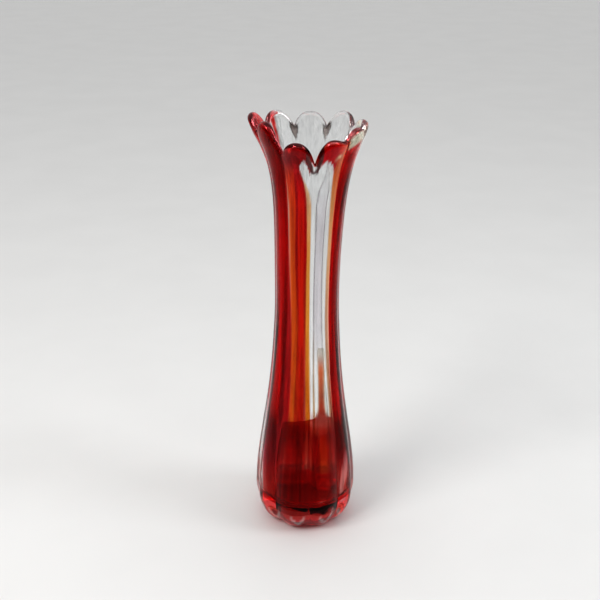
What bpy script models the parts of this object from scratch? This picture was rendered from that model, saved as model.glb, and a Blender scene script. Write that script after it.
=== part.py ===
"""A tall hand-blown art glass vase, swung out of nine ribs into nine rim fingers.

The vase is built as its layers of glass: a clear outer casing, a clear inner lining that holds the water,
and the coloured overlays that lie between them. Metres, +Z up, the front faces -Y, and the origin is the
middle of the flat face that the vase stands on. Angles are in degrees, from the front towards +X.
"""

import math

import bpy

# The nine ribs, and how far the front of the vase is twisted to the right of an even spacing.
RIBS = 9
RIB_STEP = 360 / RIBS
FRONT_TWIST = 5.0
GROOVE_SOFTNESS = 0.14
FINGER_ROUNDNESS = 2.3

# The outline over the rib crests, from the top of the foot to above the fingers: height, radius.
OUTLINE = (
    (0.031, 0.0476),
    (0.041, 0.0473),
    (0.057, 0.0460),
    (0.081, 0.0429),
    (0.108, 0.0388),
    (0.135, 0.0350),
    (0.162, 0.0322),
    (0.191, 0.0302),
    (0.221, 0.0290),
    (0.274, 0.0298),
    (0.318, 0.0325),
    (0.344, 0.0370),
    (0.360, 0.0428),
    (0.373, 0.0492),
    (0.392, 0.0555),
)
FOOT_HEIGHT = 0.031
CONTACT_RADIUS = 0.027

# The top of the vase bends a little to the right: how far, and between which heights.
BEND = 0.0018
BEND_FROM = 0.240
BEND_TO = 0.350

# Depth of the grooves between the ribs, and thickness of the whole wall at a groove: height, size.
GROOVE_DEPTHS = (
    (0.0, 0.0032),
    (0.03, 0.0028),
    (0.10, 0.0015),
    (0.22, 0.0011),
    (0.32, 0.0018),
    (0.392, 0.0034),
)
WALL_AT_GROOVE = ((0.0, 0.0085), (0.04, 0.0080), (0.135, 0.0064), (0.22, 0.0058), (0.392, 0.0054))

# Heights of the nine finger tips, and of the notches between them, each list from the front towards +X.
TIP_HEIGHTS = (0.377, 0.383, 0.383, 0.384, 0.381, 0.384, 0.388, 0.388, 0.375)
NOTCH_HEIGHTS = (0.356, 0.3745, 0.370, 0.373, 0.370, 0.370, 0.373, 0.368, 0.364)

# How much further out (or in) than the outline each finger leans at the rim, in the same order.
FINGER_LEANS = (-0.0015, -0.0050, -0.0030, -0.0020, 0.0, 0.0010, 0.0015, -0.0050, 0.0)
LEAN_FROM = 0.335
LEAN_TO = 0.385

# The well, and the layers outside it, each measured outwards from the well's own surface.
WELL_FLOOR = 0.018
FLOOR_TOP = 0.034
FLOOR_THICKENING = 1.2
LAYER_GAP = 0.0004
LINING = 0.0016
COLOUR = 0.0009
COLOUR_INNER = LINING + LAYER_GAP
COLOUR_OUTER = COLOUR_INNER + COLOUR
CASING_INNER = COLOUR_OUTER + LAYER_GAP
COLOUR_AT_FINGERS = 0.0005

# The shared grid that every layer is laid on: columns round the vase, rows up the wall.
COLUMNS_PER_RIB = 6
COLUMN_STEP = RIB_STEP / COLUMNS_PER_RIB
FLOOR_ROWS = 4
BODY_ROWS = 9
FAN_ROWS = 4
TOP_ROW = BODY_ROWS + FAN_ROWS
FAN_FROM = 0.330
FOOT_ANGLES = (90, 70, 50, 30, 12)
LIP_ANGLES = (60, 30, 0)
STEEPEST_RIM = 2.2

# Edges of the coloured overlays: height, angle. Neighbours share an edge.
BACK_LEFT_EDGE = (
    (0.0, -72),
    (0.065, -80),
    (0.108, -92),
    (0.16, -106),
    (0.22, -118),
    (0.33, -134),
    (0.388, -144),
)
DARK_TO_ORANGE = ((0.0, -42), (0.34, -38), (0.388, -40))
ORANGE_TO_SCARLET = ((0.0, -24), (0.34, -21), (0.388, -22))
SCARLET_TO_AMBER = ((0.0, 0), (0.15, -8), (0.33, -8), (0.388, -5))
CLEAR_LEFT_EDGE = ((0.028, 18), (0.044, 12), (0.10, 4), (0.16, -1), (0.34, -1), (0.388, -1))
CLEAR_RIGHT_EDGE = ((0.028, 18), (0.044, 28), (0.10, 31), (0.20, 32), (0.33, 31), (0.352, 24), (0.376, 10))
AMBER_TO_DARK = ((0.0, 37), (0.20, 44), (0.388, 44))
ALMOND_LEFT_EDGE = ((0.0, 62), (0.020, 62), (0.045, 60), (0.080, 66), (0.100, 66), (0.388, 66))
ALMOND_RIGHT_EDGE = ((0.0, 72), (0.020, 74), (0.045, 76), (0.080, 66), (0.100, 66), (0.388, 66))
BACK_RIGHT_EDGE = ((0.0, 98), (0.20, 112), (0.33, 112), (0.372, 106))
EDGE_GAP = 0.0004

# The overlay low on the back: its top by angle, and its rows.
WEDGE_TOPS = (
    (112, 0.050),
    (124, 0.074),
    (136, 0.104),
    (144, 0.144),
    (152, 0.112),
    (162, 0.082),
    (180, 0.078),
    (215, 0.074),
    (240, 0.060),
    (260, 0.045),
)
WEDGE_ROWS = 8

COLOURS = {
    "clear_casing": (0.93, 0.95, 0.95, 0.02),
    "clear_lining": (0.90, 0.93, 0.94, 0.02),
    "dark_red_glass": (0.30, 0.0, 0.004, 0.05),
    "orange_glass": (0.72, 0.10, 0.01, 0.05),
    "scarlet_glass": (0.55, 0.01, 0.005, 0.05),
    "amber_glass": (0.78, 0.33, 0.07, 0.05),
}


def smooth(points, x):
    """A smooth curve through (x, value) points, level beyond its two ends."""
    if x <= points[0][0]:
        return points[0][1]
    if x >= points[-1][0]:
        return points[-1][1]
    i = max(k for k in range(len(points) - 1) if points[k][0] <= x)

    def slope(k):
        low = points[max(k - 1, 0)]
        high = points[min(k + 1, len(points) - 1)]
        return (high[1] - low[1]) / (high[0] - low[0])

    (x0, y0), (x1, y1) = points[i], points[i + 1]
    span = x1 - x0
    t = (x - x0) / span
    rise = y1 - y0
    a = slope(i) * span - rise
    b = rise - slope(i + 1) * span
    return y0 + t * rise + t * (1 - t) * (a * (1 - t) + b * t)


def turned(angle):
    """The true angle of a place on the evenly spaced ribs."""
    front = max(0.0, math.cos(math.radians(angle)))
    return angle + FRONT_TWIST * front**2


def rib_wave(angle):
    """0 in each groove and 1 on each rib crest, with a rounded groove."""
    wave = abs(math.sin(math.radians(angle) * RIBS / 2))
    highest = math.hypot(1, GROOVE_SOFTNESS)
    return (math.hypot(wave, GROOVE_SOFTNESS) - GROOVE_SOFTNESS) / (highest - GROOVE_SOFTNESS)


def outer_radius(angle, z):
    """The ribbed outside of the casing."""
    groove = smooth(GROOVE_DEPTHS, z) * (1 - rib_wave(angle))
    return crest_radius(z) - groove


def crest_radius(z):
    """The outline over the rib crests, with an elliptical foot."""
    if z >= FOOT_HEIGHT:
        return smooth(OUTLINE, z)
    rise = (FOOT_HEIGHT - z) / FOOT_HEIGHT
    return CONTACT_RADIUS + (OUTLINE[0][1] - CONTACT_RADIUS) * math.sqrt(1 - rise**2)


def well_radius(z):
    """The round inside wall of the well."""
    return smooth(OUTLINE, z) - smooth(GROOVE_DEPTHS, z) - smooth(WALL_AT_GROOVE, z)


def finger(angle):
    """Which finger this angle is in, and how far across it, from 0 at one notch to 1 at the next."""
    place = (angle % 360) / RIB_STEP
    return int(place) % RIBS, place - int(place)


def rim_height(angle):
    """The top of the wall, round the nine fingers and notches."""
    k, share = finger(angle)
    notch = NOTCH_HEIGHTS[k] * (1 - share) + NOTCH_HEIGHTS[(k + 1) % RIBS] * share
    return notch + (TIP_HEIGHTS[k] - notch) * (1 - abs(2 * share - 1) ** FINGER_ROUNDNESS)


def lean(angle, z):
    """How far the finger at this angle leans out beyond the outline at this height."""
    k, share = finger(angle - RIB_STEP / 2)
    share = share**2 * (3 - 2 * share)
    most = FINGER_LEANS[k] * (1 - share) + FINGER_LEANS[(k + 1) % RIBS] * share
    return most * max((z - LEAN_FROM) / (LEAN_TO - LEAN_FROM), 0.0) ** 2


def rim_steepness(angle):
    """How much longer the rim's edge is than its shadow here, held to what a rolled lip can follow."""
    step = 1.0
    run = 2 * math.radians(step) * crest_radius(0.37)
    rise = rim_height(angle + step) - rim_height(angle - step)
    return min(math.hypot(1, rise / run), STEEPEST_RIM)


def half_wall(angle, z):
    return (outer_radius(angle, z) - well_radius(z)) / 2


def lip_height(angle):
    """Where the rolled lip starts, below the rim."""
    top = rim_height(angle)
    return top - half_wall(angle, top) * rim_steepness(angle)


def side_height(angle, row):
    """Rows up the wall are level rings to FAN_FROM, and fan out to the lip above it."""
    if row <= BODY_ROWS:
        return FLOOR_TOP + (FAN_FROM - FLOOR_TOP) * row / BODY_ROWS
    share = (row - BODY_ROWS) / FAN_ROWS
    return FAN_FROM + (lip_height(angle) - FAN_FROM) * share


def axis_shift(z):
    """How far the bend carries the vase's axis towards +X."""
    share = min(max((z - BEND_FROM) / (BEND_TO - BEND_FROM), 0.0), 1.0)
    return BEND * share**2 * (3 - 2 * share)


def placed(angle, radius, z):
    """The point at this rib angle, radius and height."""
    true = math.radians(turned(angle))
    radius += lean(angle, z)
    return (axis_shift(z) + radius * math.sin(true), -radius * math.cos(true), z)


def grid_point(column, row, offset):
    """A grid corner at this distance outside the well.

    Rows below 0 go in under the well, to its middle at -FLOOR_ROWS.
    """
    angle = column * COLUMN_STEP
    if row >= 0:
        z = side_height(angle, row)
        return placed(angle, well_radius(z) + offset, z)
    tilt = math.radians(-90 * row / FLOOR_ROWS)
    radius = (well_radius(FLOOR_TOP) + offset) * math.cos(tilt)
    depth = FLOOR_TOP - WELL_FLOOR + FLOOR_THICKENING * offset
    return placed(angle, radius, FLOOR_TOP - depth * math.sin(tilt))


def mixed(a, b, share):
    return tuple(p + (q - p) * share for p, q in zip(a, b))


def layer_point(angle, row, offset):
    """A point on the layer's flat facets, so that layers on different columns keep their gap."""
    column = math.floor(angle / COLUMN_STEP)
    below = math.floor(row)
    across = angle / COLUMN_STEP - column
    low = mixed(grid_point(column, below, offset), grid_point(column + 1, below, offset), across)
    if row == below:
        return low
    high = mixed(grid_point(column, below + 1, offset), grid_point(column + 1, below + 1, offset), across)
    return mixed(low, high, row - below)


def ring(point_at):
    """One point for each column round the vase."""
    columns = round(360 / COLUMN_STEP)
    return [point_at(c * COLUMN_STEP) for c in range(columns)]


def cup_rings(offset, top_drop):
    """The rings of one layer's surface, from beneath the well's middle to top_drop below the lip."""
    rings = [ring(lambda a, r=row: layer_point(a, r, offset)) for row in range(1 - FLOOR_ROWS, TOP_ROW)]

    def top(angle):
        z = lip_height(angle) - top_drop * rim_steepness(angle)
        return placed(angle, well_radius(z) + offset, z)

    return rings + [ring(top)]


def glass(name):
    red, green, blue, roughness = COLOURS[name]
    material = bpy.data.materials.new(name)
    material.use_nodes = True
    shader = material.node_tree.nodes["Principled BSDF"]
    shader.inputs["Base Color"].default_value = (red, green, blue, 1.0)
    shader.inputs["Metallic"].default_value = 0.0
    shader.inputs["Roughness"].default_value = roughness
    shader.inputs["IOR"].default_value = 1.5
    shader.inputs["Transmission Weight"].default_value = 1.0
    material.diffuse_color = (red, green, blue, 1.0)
    return material


def add_piece(name, points, faces, material):
    mesh = bpy.data.meshes.new(name)
    mesh.from_pydata(points, [], faces)
    mesh.materials.append(material)
    mesh.validate()
    mesh.shade_smooth()
    mesh.set_sharp_from_angle(angle=math.radians(50))
    piece = bpy.data.objects.new(name, mesh)
    bpy.context.scene.collection.objects.link(piece)
    return piece


def add_rings(name, first, rings, last, material):
    """A closed body through rings, from one middle point to another: up the outside, down the inside."""
    count = len(rings[0])
    points = [first] + [p for r in rings for p in r] + [last]
    end = len(points) - 1
    faces = []
    for i in range(count):
        j = (i + 1) % count
        faces.append((0, 1 + j, 1 + i))
        for k in range(len(rings) - 1):
            low = 1 + k * count
            high = low + count
            faces.append((low + i, low + j, high + j, high + i))
        top = 1 + (len(rings) - 1) * count
        faces.append((top + i, top + j, end))
    return add_piece(name, points, faces, material)


def add_outer_casing():
    """The ribbed body with its foot, its rolled fingers, and the seat inside it for the other layers."""

    def foot(angle, tilt):
        z = FOOT_HEIGHT * (1 - math.sin(math.radians(tilt)))
        return placed(angle, outer_radius(angle, z), z)

    def side(angle, row):
        z = side_height(angle, row)
        return placed(angle, outer_radius(angle, z), z)

    def lip(angle, tilt, side_of_wall):
        top = rim_height(angle)
        half = half_wall(angle, top)
        z = top - half * rim_steepness(angle) * (1 - math.cos(math.radians(tilt)))
        middle = (outer_radius(angle, z) + well_radius(z)) / 2
        reach = half_wall(angle, z) * math.sin(math.radians(tilt))
        return placed(angle, middle + side_of_wall * reach, z)

    rings = [ring(lambda a, t=tilt: foot(a, t)) for tilt in FOOT_ANGLES]
    rings += [ring(lambda a, r=row: side(a, r)) for row in range(TOP_ROW + 1)]
    rings += [ring(lambda a, t=tilt: lip(a, t, 1)) for tilt in LIP_ANGLES]
    rings += [ring(lambda a, t=tilt: lip(a, t, -1)) for tilt in reversed(LIP_ANGLES[:-1])]
    rings.append(ring(lambda a: layer_point(a, TOP_ROW, 0.0)))
    rings += reversed(cup_rings(CASING_INNER, 0.0))
    seat_floor = WELL_FLOOR - FLOOR_THICKENING * CASING_INNER
    return add_rings("outer_casing", (0, 0, 0), rings, (0, 0, seat_floor), glass("clear_casing"))


def add_inner_lining():
    """The clear bubble whose inside is the well."""
    outside = cup_rings(LINING, LAYER_GAP)
    inside = cup_rings(0.0, LAYER_GAP)
    lowest = WELL_FLOOR - FLOOR_THICKENING * LINING
    rings = outside + inside[::-1]
    return add_rings("inner_lining", (0, 0, lowest), rings, (0, 0, WELL_FLOOR), glass("clear_lining"))


def add_base_pool():
    """The lens of red glass under the well, where the overlays run together."""
    rows = [1 - FLOOR_ROWS, 2 - FLOOR_ROWS, -1.6]
    under = [ring(lambda a, r=row: layer_point(a, r, COLOUR_OUTER)) for row in rows]
    over = [ring(lambda a, r=row: layer_point(a, r, COLOUR_INNER)) for row in rows]
    lowest = (0, 0, WELL_FLOOR - FLOOR_THICKENING * COLOUR_OUTER)
    highest = (0, 0, WELL_FLOOR - FLOOR_THICKENING * COLOUR_INNER)
    return add_rings("red_base_pool", lowest, under + over[::-1], highest, glass("scarlet_glass"))


def band_rows(top_row):
    """Rows from the foot's curve to top_row, closer together where an overlay's edges slant most."""
    rows = [-1.4, -1.0] + [r / 2 for r in range(-1, 13)]
    rows += [7.0, 8.0] + [r / 2 for r in range(2 * BODY_ROWS, 2 * TOP_ROW)]
    return [r for r in rows if r < top_row - 0.2] + [top_row]


def edge_angle(edge, row, side):
    """The angle of an overlay's edge at this row, set in towards the side that the overlay is on."""
    z = side_height(smooth(edge, FAN_FROM), max(row, 0.0))
    inset = math.degrees(EDGE_GAP / 2 / well_radius(z))
    return smooth(edge, z) + side * inset


def add_band(name, left_edge, right_edge, colour, top_row=TOP_ROW - 1):
    """A thin overlay between two edges, which follow the height."""
    rows = band_rows(top_row)
    ends = [(edge_angle(left_edge, row, 1), edge_angle(right_edge, row, -1)) for row in rows]
    columns = max(2, math.ceil(max(right - left for left, right in ends) / COLUMN_STEP))
    shares = [c / columns for c in range(columns + 1)]
    grid = []
    for row, (left, right) in zip(rows, ends):
        grid.append([(left + (right - left) * share, row) for share in shares])
    return add_patch(name, grid, colour)


def add_wedge():
    """The overlay low on the back, whose top edge climbs to a point."""
    first = WEDGE_TOPS[0][0]
    last = WEDGE_TOPS[-1][0]
    columns = round((last - first) / COLUMN_STEP)
    grid = [[(first + (last - first) * c / columns, -1.0) for c in range(columns + 1)]]
    for k in range(WEDGE_ROWS + 1):
        line = []
        for c in range(columns + 1):
            angle = first + (last - first) * c / columns
            top_row = (smooth(WEDGE_TOPS, angle) - FLOOR_TOP) / (FAN_FROM - FLOOR_TOP) * BODY_ROWS
            line.append((angle, top_row * k / WEDGE_ROWS))
        grid.append(line)
    return add_patch("back_orange_wedge", grid, "orange_glass")


def colour_face(row, side):
    """How far an overlay's outer (1) or inner (-1) face is from the well.

    The overlays are stretched thin at the fingers.
    """
    share = min(max(row - BODY_ROWS, 0.0), 1.0)
    thickness = COLOUR + (COLOUR_AT_FINGERS - COLOUR) * share
    return (COLOUR_INNER + COLOUR_OUTER + side * thickness) / 2


def add_patch(name, grid, colour):
    """A sheet of colour through rows of (angle, row) places, with its two faces and its four edges."""
    across = len(grid[0])
    inside = len(grid) * across
    places = [place for line in grid for place in line]
    points = [layer_point(angle, row, colour_face(row, 1)) for angle, row in places]
    points += [layer_point(angle, row, colour_face(row, -1)) for angle, row in places]
    faces = []
    for k in range(len(grid) - 1):
        low = k * across
        high = low + across
        for c in range(across - 1):
            faces.append((low + c, low + c + 1, high + c + 1, high + c))
            faces.append((inside + low + c, inside + high + c, inside + high + c + 1, inside + low + c + 1))
        faces.append((low, high, inside + high, inside + low))
        low += across - 1
        high += across - 1
        faces.append((low, inside + low, inside + high, high))
    top = (len(grid) - 1) * across
    for c in range(across - 1):
        faces.append((c, inside + c, inside + c + 1, c + 1))
        faces.append((top + c, top + c + 1, inside + top + c + 1, inside + top + c))
    return add_piece(name, points, faces, glass(colour))


def add_overlays():
    add_band("deep_red_band_left", BACK_LEFT_EDGE, DARK_TO_ORANGE, "dark_red_glass")
    add_band("brick_orange_band", DARK_TO_ORANGE, ORANGE_TO_SCARLET, "orange_glass")
    add_band("scarlet_band", ORANGE_TO_SCARLET, SCARLET_TO_AMBER, "scarlet_glass")
    add_band("amber_stripe_left", SCARLET_TO_AMBER, CLEAR_LEFT_EDGE, "amber_glass")
    add_band("amber_stripe_right", CLEAR_RIGHT_EDGE, AMBER_TO_DARK, "amber_glass")
    add_band("deep_red_band_right", AMBER_TO_DARK, ALMOND_LEFT_EDGE, "dark_red_glass")
    add_band("red_streak_right_edge", ALMOND_RIGHT_EDGE, BACK_RIGHT_EDGE, "dark_red_glass", TOP_ROW - 2)
    add_wedge()


def main():
    for old in list(bpy.data.objects):
        bpy.data.objects.remove(old, do_unlink=True)
    add_outer_casing()
    add_inner_lining()
    add_base_pool()
    add_overlays()


main()
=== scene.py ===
"""The looks of a tall hand-blown art glass vase with cased red, orange and amber overlays and a fingered rim.

Every layer of glass that the frame holds is built again here at a finer grain. Metres, +Z up, the front
faces -Y. Angles are in degrees, from the front towards +X, counted on evenly spaced ribs.
"""

import functools
import math

import bpy
from mathutils import Matrix, Vector


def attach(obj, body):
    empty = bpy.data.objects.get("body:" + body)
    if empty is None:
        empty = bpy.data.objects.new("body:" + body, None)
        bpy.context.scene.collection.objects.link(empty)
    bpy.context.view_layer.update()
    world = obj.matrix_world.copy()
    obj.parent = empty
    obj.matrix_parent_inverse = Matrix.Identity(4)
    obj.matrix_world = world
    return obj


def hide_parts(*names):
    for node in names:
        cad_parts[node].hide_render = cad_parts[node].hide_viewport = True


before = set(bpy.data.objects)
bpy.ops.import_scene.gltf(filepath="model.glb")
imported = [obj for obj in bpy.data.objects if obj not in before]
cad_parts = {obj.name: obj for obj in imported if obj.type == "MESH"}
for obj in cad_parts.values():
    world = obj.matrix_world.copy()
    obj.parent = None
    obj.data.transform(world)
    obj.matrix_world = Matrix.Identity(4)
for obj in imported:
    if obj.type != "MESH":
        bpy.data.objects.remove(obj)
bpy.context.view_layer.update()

# ---------------------------------------------------------------- the shape of the vase, as in the frame
RIBS = 9
RIB_STEP = 360 / RIBS
FRONT_TWIST = 5.0
GROOVE_SOFTNESS = 0.14
FINGER_ROUNDNESS = 2.3
OUTLINE = (
    (0.031, 0.0476),
    (0.041, 0.0473),
    (0.057, 0.0460),
    (0.081, 0.0429),
    (0.108, 0.0388),
    (0.135, 0.0350),
    (0.162, 0.0322),
    (0.191, 0.0302),
    (0.221, 0.0290),
    (0.274, 0.0298),
    (0.318, 0.0325),
    (0.344, 0.0370),
    (0.360, 0.0428),
    (0.373, 0.0492),
    (0.392, 0.0555),
)
FOOT_HEIGHT = 0.031
CONTACT_RADIUS = 0.027
BEND = 0.0018
BEND_FROM = 0.240
BEND_TO = 0.350
GROOVE_DEPTHS = (
    (0.0, 0.0032), (0.03, 0.0028), (0.1, 0.0015), (0.22, 0.0011), (0.32, 0.0018), (0.392, 0.0034),
)
WALL_AT_GROOVE = ((0.0, 0.0085), (0.04, 0.0080), (0.135, 0.0064), (0.22, 0.0058), (0.392, 0.0054))
TIP_HEIGHTS = (0.377, 0.383, 0.383, 0.384, 0.381, 0.384, 0.388, 0.388, 0.375)
NOTCH_HEIGHTS = (0.356, 0.3745, 0.370, 0.373, 0.370, 0.370, 0.373, 0.368, 0.364)
FINGER_LEANS = (-0.0015, -0.0050, -0.0030, -0.0020, 0.0, 0.0010, 0.0015, -0.0050, 0.0)
LEAN_FROM = 0.335
LEAN_TO = 0.385
WELL_FLOOR = 0.018
FLOOR_TOP = 0.034
FLOOR_THICKENING = 1.2

# Depths of the layers, measured outwards from the well's own surface.
SEAM = 0.00005
LINING = 0.0018
COLOUR_INNER = LINING + SEAM
COLOUR_OUTER = 0.0030
CASING_INNER = COLOUR_OUTER + SEAM
SKIN = 0.00012
RIM_INSET = 0.0008

# Edges of the coloured overlays: height, angle.
BACK_LEFT_EDGE = (
    (0.0, -68), (0.065, -72), (0.108, -82), (0.16, -104), (0.22, -118), (0.33, -134), (0.388, -144),
)
DARK_TO_ORANGE = ((0.0, -42), (0.34, -38), (0.388, -40))
ORANGE_TO_SCARLET = ((0.0, -24), (0.34, -21), (0.388, -22))
SCARLET_TO_AMBER = ((0.0, 0), (0.15, -8), (0.32, -8), (0.345, -16), (0.388, -16))
CLEAR_LEFT_EDGE = ((0.028, 18), (0.044, 12), (0.10, 4), (0.16, -1), (0.32, -1), (0.345, -12), (0.388, -12))
CLEAR_RIGHT_EDGE = ((0.028, 18), (0.044, 28), (0.10, 31), (0.20, 32), (0.33, 29), (0.352, 24), (0.376, 10))
AMBER_TO_DARK = ((0.0, 39), (0.20, 46), (0.388, 46))
ALMOND_LEFT_EDGE = (
    (0.0, 61), (0.03, 60), (0.036, 58), (0.05, 58), (0.065, 64), (0.084, 70), (0.1, 66), (0.388, 66),
)
ALMOND_RIGHT_EDGE = (
    (0.0, 64), (0.03, 66), (0.036, 68), (0.05, 74), (0.065, 75), (0.084, 71), (0.1, 66), (0.388, 66),
)
BACK_RIGHT_EDGE = ((0.0, 98), (0.06, 104), (0.09, 116), (0.20, 122), (0.33, 116), (0.372, 106))
EDGE_GAP = 0.0001
WEDGE_TOPS = (
    (112, 0.050),
    (124, 0.074),
    (137, 0.110),
    (144.5, 0.163),
    (146.4, 0.156),
    (146.9, 0.136),
    (147.6, 0.112),
    (149.2, 0.090),
    (152, 0.082),
    (175, 0.078),
    (215, 0.074),
    (240, 0.060),
    (260, 0.045),
)

# The grain of the meshes.
COLUMNS = 32
NOTCH_CROWDING = 0.5
FLOOR_ROWS = 8
BODY_ROWS = 26
FAN_ROWS = 14
FAN_FROM = 0.330
FOOT_TILTS = (90, 82, 74, 66, 58, 50, 42, 34, 26, 18, 9)
LIP_TILTS = (75, 60, 45, 30, 15, 0, -15, -30, -45, -60, -75)
OVERLAY_TOP = 0.97
LINING_TOP_INSET = 0.03
BAND_FIRST_ROW = -3
BAND_FAN_ROWS = 24
BAND_COLUMN_WIDTH = 2.0
LEAST_BAND_COLUMNS = 6
WEDGE_COLUMNS = 160
WEDGE_FLOOR_ROWS = (-3.1, -2.5, -2.0, -1.0)
WEDGE_ROWS = 32
POOL_ROWS = (-7, -6, -5, -4, -3.2)
SHARP_ANGLE = 55
RIM_STEPS = 240

# Steps that directions on the wall are measured over: broad ones for its shape, tiny ones for its slope.
NEAR_ANGLE = 1.5
NEAR_HEIGHT = 0.002
TINY_ANGLE = 0.01
TINY_HEIGHT = 0.0001


def smooth(points, x):
    """A smooth curve through (x, value) points, level beyond its two ends."""
    if x <= points[0][0]:
        return points[0][1]
    if x >= points[-1][0]:
        return points[-1][1]
    i = max(k for k in range(len(points) - 1) if points[k][0] <= x)

    def slope(k):
        low = points[max(k - 1, 0)]
        high = points[min(k + 1, len(points) - 1)]
        return (high[1] - low[1]) / (high[0] - low[0])

    (x0, y0), (x1, y1) = points[i], points[i + 1]
    span = x1 - x0
    t = (x - x0) / span
    rise = y1 - y0
    a = slope(i) * span - rise
    b = rise - slope(i + 1) * span
    return y0 + t * rise + t * (1 - t) * (a * (1 - t) + b * t)


def turned(angle):
    """The true angle of a place on the evenly spaced ribs."""
    front = max(0.0, math.cos(math.radians(angle)))
    return angle + FRONT_TWIST * front**2


def rib_wave(angle):
    """0 in each groove and 1 on each rib crest, with a rounded groove."""
    wave = abs(math.sin(math.radians(angle) * RIBS / 2))
    highest = math.hypot(1, GROOVE_SOFTNESS)
    return (math.hypot(wave, GROOVE_SOFTNESS) - GROOVE_SOFTNESS) / (highest - GROOVE_SOFTNESS)


def crest_radius(z):
    """The outline over the rib crests, with an elliptical foot."""
    if z >= FOOT_HEIGHT:
        return smooth(OUTLINE, z)
    rise = (FOOT_HEIGHT - z) / FOOT_HEIGHT
    return CONTACT_RADIUS + (OUTLINE[0][1] - CONTACT_RADIUS) * math.sqrt(1 - rise**2)


def outer_radius(angle, z):
    return crest_radius(z) - smooth(GROOVE_DEPTHS, z) * (1 - rib_wave(angle)) - SKIN


def well_radius(z):
    return smooth(OUTLINE, z) - smooth(GROOVE_DEPTHS, z) - smooth(WALL_AT_GROOVE, z)


def rim_height(angle):
    """The top of the wall, round the nine fingers and notches."""
    place = (angle % 360) / RIB_STEP
    k = int(place) % RIBS
    share = place - int(place)
    notch = NOTCH_HEIGHTS[k] * (1 - share) + NOTCH_HEIGHTS[(k + 1) % RIBS] * share
    return notch + (TIP_HEIGHTS[k] - notch) * (1 - abs(2 * share - 1) ** FINGER_ROUNDNESS) - RIM_INSET


def lean(angle, z):
    """How far the finger at this angle leans out beyond the outline at this height."""
    place = ((angle - RIB_STEP / 2) % 360) / RIB_STEP
    k = int(place) % RIBS
    share = place - int(place)
    share = share**2 * (3 - 2 * share)
    most = FINGER_LEANS[k] * (1 - share) + FINGER_LEANS[(k + 1) % RIBS] * share
    return most * max((z - LEAN_FROM) / (LEAN_TO - LEAN_FROM), 0.0) ** 2


def axis_shift(z):
    share = min(max((z - BEND_FROM) / (BEND_TO - BEND_FROM), 0.0), 1.0)
    return BEND * share**2 * (3 - 2 * share)


def placed(angle, radius, z):
    """The point at this rib angle, radius and height."""
    true = math.radians(turned(angle))
    radius += lean(angle, z)
    return Vector((axis_shift(z) + radius * math.sin(true), -radius * math.cos(true), z))


# ---------------------------------------------------------------- the wall, and the places on it
class Place:
    """A rib angle and height on the wall, and how far across it has turned from level to square on it."""

    def __init__(self, angle, z, square=0.0):
        self.angle = angle
        self.z = z
        self.square = square
        inner = placed(angle, well_radius(z), z)
        outer = placed(angle, outer_radius(angle, z), z)
        self.middle = (inner + outer) / 2
        self.level_half = (outer - inner).length / 2
        level = (outer - inner).normalized()
        self.across = level
        self.half = self.level_half
        if square > 0:
            normal = wall_normal(angle, z)
            self.across = level.lerp(normal, square).normalized()
            self.half = self.level_half * normal.dot(level) / normal.dot(self.across)

    def at(self, depth):
        """The point this far out from the well, as a depth through the level wall."""
        share = depth / self.level_half - 1
        return self.middle + self.across * self.half * share

    def outside(self):
        return self.middle + self.across * self.half


def wall_middle(angle, z):
    return placed(angle, (well_radius(z) + outer_radius(angle, z)) / 2, z)


def wall_normal(angle, z):
    """The direction square on the middle of the wall, outwards."""
    along = wall_middle(angle + NEAR_ANGLE, z) - wall_middle(angle - NEAR_ANGLE, z)
    up = wall_middle(angle, z + NEAR_HEIGHT) - wall_middle(angle, z - NEAR_HEIGHT)
    return along.cross(up).normalized()


def rim_angles():
    """Rib angles of the columns at the rim, evenly spaced along its edge but closer at the notches."""
    angles = []
    for k in range(RIBS):
        fine = [RIB_STEP * (k + s / RIM_STEPS) for s in range(RIM_STEPS + 1)]
        points = [wall_middle(a, rim_height(a)) for a in fine]
        lengths = [0.0]
        for p, q in zip(points, points[1:]):
            lengths.append(lengths[-1] + (q - p).length)
        for c in range(COLUMNS):
            t = c / COLUMNS
            target = lengths[-1] * (t - NOTCH_CROWDING * math.sin(2 * math.pi * t) / (2 * math.pi))
            i = max(n for n in range(len(lengths)) if lengths[n] <= target + 1e-9)
            i = min(i, len(fine) - 2)
            share = (target - lengths[i]) / (lengths[i + 1] - lengths[i])
            angles.append(fine[i] + (fine[i + 1] - fine[i]) * share)
    return angles


def rim_columns():
    """For each column, the core of the rolled lip, and the direction from it to the rim's edge."""
    angles = rim_angles()
    edge = [wall_middle(a, rim_height(a)) for a in angles]
    count = len(edge)
    columns = []
    for c in range(count):
        steps = [edge[(c + d) % count] - edge[(c - d) % count] for d in (1, 2, 3)]
        tangent = sum(steps, Vector()).normalized()
        normal = wall_normal(angles[c], rim_height(angles[c]))
        up = tangent.cross(normal)
        up = -up if up.z < 0 else up
        up.normalize()
        place = Place(angles[c], rim_height(angles[c]), 1.0)
        turn = wall_middle(angles[c] + TINY_ANGLE, place.z) - wall_middle(angles[c] - TINY_ANGLE, place.z)
        along = turn / (2 * TINY_ANGLE)
        lift = wall_middle(angles[c], place.z + TINY_HEIGHT) - wall_middle(angles[c], place.z - TINY_HEIGHT)
        rise = lift / (2 * TINY_HEIGHT)
        across = along.normalized().dot(up)
        over = along.normalized().dot(rise.normalized())
        climb = (rise.normalized().dot(up) - over * across) / (1 - over**2)
        sideways = across - over * climb
        core_angle = angles[c] - place.half * sideways / along.length
        core_z = place.z - place.half * climb / rise.length
        core = Place(core_angle, core_z, 1.0)
        reach = edge[c] - core.middle
        columns.append((core, reach, angles[c]))
    return columns


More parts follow.
